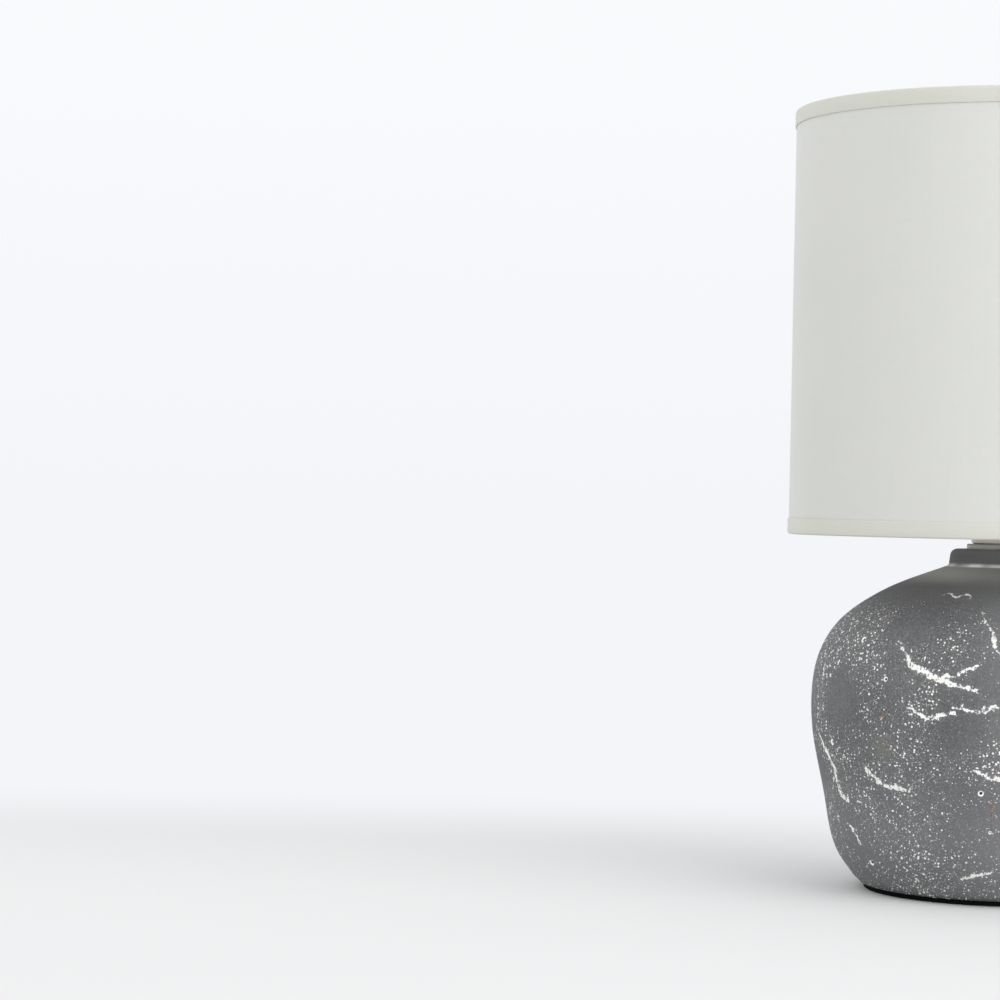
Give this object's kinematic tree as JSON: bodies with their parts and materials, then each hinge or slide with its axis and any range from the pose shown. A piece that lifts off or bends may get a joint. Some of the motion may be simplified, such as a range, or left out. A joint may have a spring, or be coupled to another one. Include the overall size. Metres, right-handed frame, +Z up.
{
  "type": "table lamp with shade",
  "caption": "Table lamp: squat hollow stoneware body on a felt pad, screw-cap lamp holder on its neck, candle bulb, and a drum shade of laminated cloth on a wire fitter.",
  "frame": {"origin": "centre of the felt pad's underside, on the surface the lamp stands on", "axes": "+Z up along the lamp's axis; +Y towards the back, where the supply lead enters"},
  "size_m": [0.2112, 0.2112, 0.3885],
  "materials": {
    "stoneware": "matt, dark grey with pale crack veins and speckles",
    "fibreboard": "matt",
    "black_felt": "napped felt",
    "black_rubber": "matt",
    "zinc_steel": "zinc plated",
    "nickel_disc": "satin nickel",
    "holder_plastic": "satin moulded thermoplastic",
    "holder_brass": "bright brass",
    "cap_nickel": "nickel plated brass",
    "solder": "dull tin",
    "black_glass": "glossy dark glass",
    "bulb_clear_glass": "clear blown glass",
    "phosphor": "matt yellow phosphor",
    "shade_cloth": "fine plain weave, off-white",
    "trim_cloth": "fine woven tape, cream",
    "shade_liner": "satin white film",
    "white_wire": "white powder coat"
  },
  "bodies": {
    "base": {"ceramic_body": "stoneware", "base_cover": "fibreboard", "felt_pad": "black_felt", "cord_grommet": "black_rubber", "neck_nipple": "zinc_steel", "neck_washer": "zinc_steel", "neck_nut": "zinc_steel", "neck_disc": "nickel_disc", "holder_cap": "holder_plastic", "cap_lock_screw": "zinc_steel", "holder_barrel": "holder_plastic", "holder_insert": "holder_plastic", "terminal_screws": "holder_brass", "screw_shell": "holder_brass", "centre_contact": "holder_brass", "lower_shade_ring": "holder_plastic"},
    "shade": {"shade_fabric": "shade_cloth", "shade_liner": "shade_liner", "top_trim": "trim_cloth", "bottom_trim": "trim_cloth", "top_wire_ring": "white_wire", "bottom_wire_ring": "white_wire", "fitter_ring": "white_wire", "fitter_arms": "white_wire"},
    "shade_ring": {"upper_shade_ring": "holder_plastic"},
    "bulb_foot": {"bulb_contact": "solder", "bulb_insulator": "black_glass"},
    "bulb": {"bulb_cap": "cap_nickel", "bulb_glass": "bulb_clear_glass", "bulb_stem": "bulb_clear_glass", "bulb_supports": "zinc_steel", "bulb_filaments": "phosphor"}
  },
  "joints": [
    {"name": "shade_turn", "type": "hinge", "parent": "base", "child": "shade", "pos_m": [0, 0, 0.2076], "axis": [0, 0, 1], "continuous": true},
    {"name": "ring_unscrew", "type": "slide", "parent": "base", "child": "shade_ring", "axis": [0, 0, 1], "range_m": [0, 0.0125]},
    {"name": "bulb_rise", "type": "slide", "parent": "base", "child": "bulb_foot", "axis": [0, 0, 1], "range_m": [0, 0.01411]},
    {"name": "bulb_turn", "type": "hinge", "parent": "bulb_foot", "child": "bulb", "pos_m": [0, 0, 0.2156], "axis": [0, 0, 1], "range_deg": [0, 1800]}
  ],
  "couplings": [
    {"joint": "bulb_rise", "follows": "bulb_turn", "m_per_rad": 0.00044913}
  ]
}
